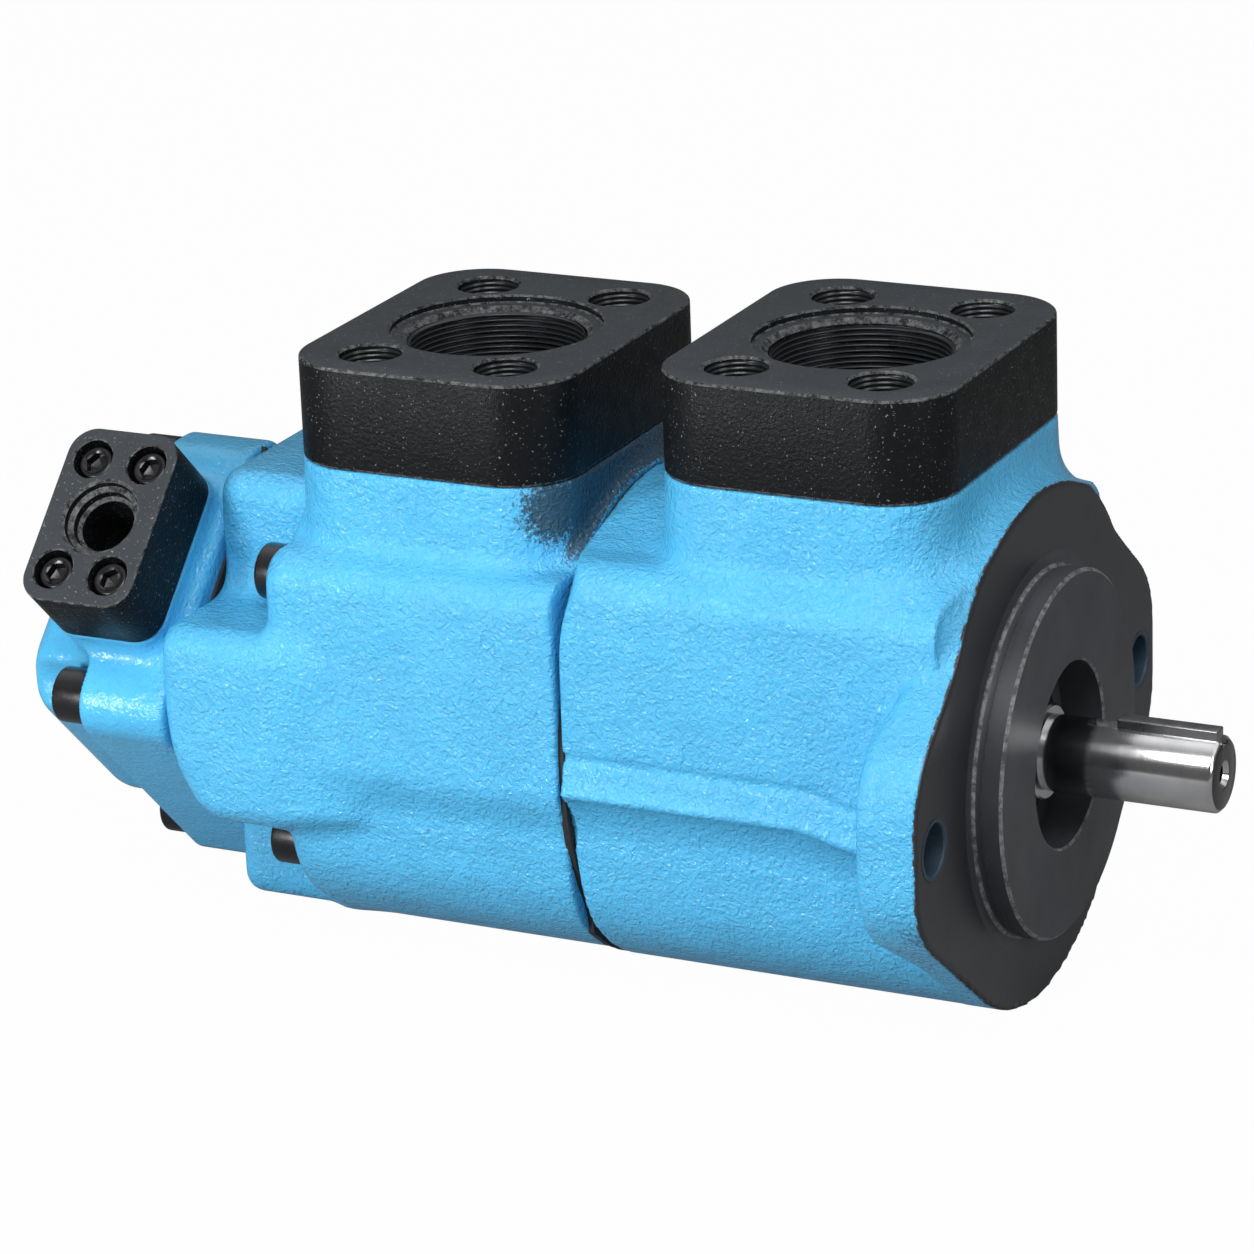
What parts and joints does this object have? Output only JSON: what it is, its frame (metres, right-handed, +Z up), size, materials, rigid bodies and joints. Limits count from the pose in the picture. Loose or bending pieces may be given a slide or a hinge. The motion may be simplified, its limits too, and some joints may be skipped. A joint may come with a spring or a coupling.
{
  "type": "hydraulic double vane pump",
  "caption": "Hydraulic double vane pump: flange-mounted cast housing with two threaded suction ports on top, pressure ports at the sides, and a keyed drive shaft that turns two vane rotors.",
  "frame": {"origin": "centre of the mounting face on the shaft axis", "axes": "+X along the shaft towards its keyed end, +Z up towards the suction ports"},
  "size_m": [0.5182, 0.271, 0.2744],
  "materials": {
    "blue_paint": "glossy paint over rough sand-cast iron",
    "black_oxide": "black oxide, satin",
    "screw_steel": "black oxide, satin",
    "shaft_steel": "ground and polished",
    "gasket": "matt",
    "seal_rubber": "matt",
    "seal_case": "pressed sheet, polished",
    "spring_steel": "phosphated",
    "bearing_steel": "polished",
    "bronze": "machined bronze",
    "hard_steel": "ground"
  },
  "bodies": {
    "housing": {"front_body": "blue_paint", "middle_body": "blue_paint", "rear_cover": "blue_paint", "body_gasket": "gasket", "cover_gasket": "gasket", "front_suction_block": "black_oxide", "rear_suction_block": "black_oxide", "rear_outlet_block": "black_oxide", "front_outlet_block": "black_oxide", "front_suction_screws": "screw_steel", "rear_suction_screws": "screw_steel", "rear_outlet_screws": "screw_steel", "front_outlet_screws": "screw_steel", "body_bolts": "screw_steel", "cover_bolts": "screw_steel", "front_suction_oring": "seal_rubber", "rear_suction_oring": "seal_rubber", "rear_outlet_oring": "seal_rubber", "front_outlet_oring": "seal_rubber", "shaft_seal": "seal_case", "seal_retaining_ring": "spring_steel", "front_bearing_outer_race": "bearing_steel", "rear_bearing_outer_race": "bearing_steel", "front_bearing_clip": "spring_steel", "centre_bush": "bronze", "spigot_oring": "seal_rubber", "cover_oring": "seal_rubber", "front_plate_seal": "seal_rubber", "rear_plate_seal": "seal_rubber", "front_side_plate": "bronze", "front_pressure_plate": "bronze", "front_cam_ring": "hard_steel", "front_cartridge_pins": "hard_steel", "front_cartridge_screws": "screw_steel", "rear_side_plate": "bronze", "rear_pressure_plate": "bronze", "rear_cam_ring": "hard_steel", "rear_cartridge_pins": "hard_steel", "rear_cartridge_screws": "screw_steel"},
    "rotating_group": {"drive_shaft": "shaft_steel", "shaft_key": "hard_steel", "front_rotor": "hard_steel", "front_vanes": "hard_steel", "rear_rotor": "hard_steel", "rear_vanes": "hard_steel", "front_bearing_inner_race": "bearing_steel", "rear_bearing_inner_race": "bearing_steel", "front_shaft_clip": "spring_steel", "rear_shaft_clip": "spring_steel"},
    "front_ball_set": {"front_bearing_balls": "bearing_steel", "front_bearing_cage": "bronze"},
    "rear_ball_set": {"rear_bearing_balls": "bearing_steel", "rear_bearing_cage": "bronze"}
  },
  "joints": [
    {"name": "shaft_spin", "type": "hinge", "parent": "housing", "child": "rotating_group", "pos_m": [0, 0, 0], "axis": [1, 0, 0], "continuous": true},
    {"name": "front_cage_spin", "type": "hinge", "parent": "housing", "child": "front_ball_set", "pos_m": [-0.0355, 0, 0], "axis": [1, 0, 0], "continuous": true},
    {"name": "rear_cage_spin", "type": "hinge", "parent": "housing", "child": "rear_ball_set", "pos_m": [-0.3095, 0, 0], "axis": [1, 0, 0], "continuous": true}
  ],
  "couplings": [
    {"joint": "front_cage_spin", "follows": "shaft_spin", "ratio": 0.3846},
    {"joint": "rear_cage_spin", "follows": "shaft_spin", "ratio": 0.3961}
  ]
}
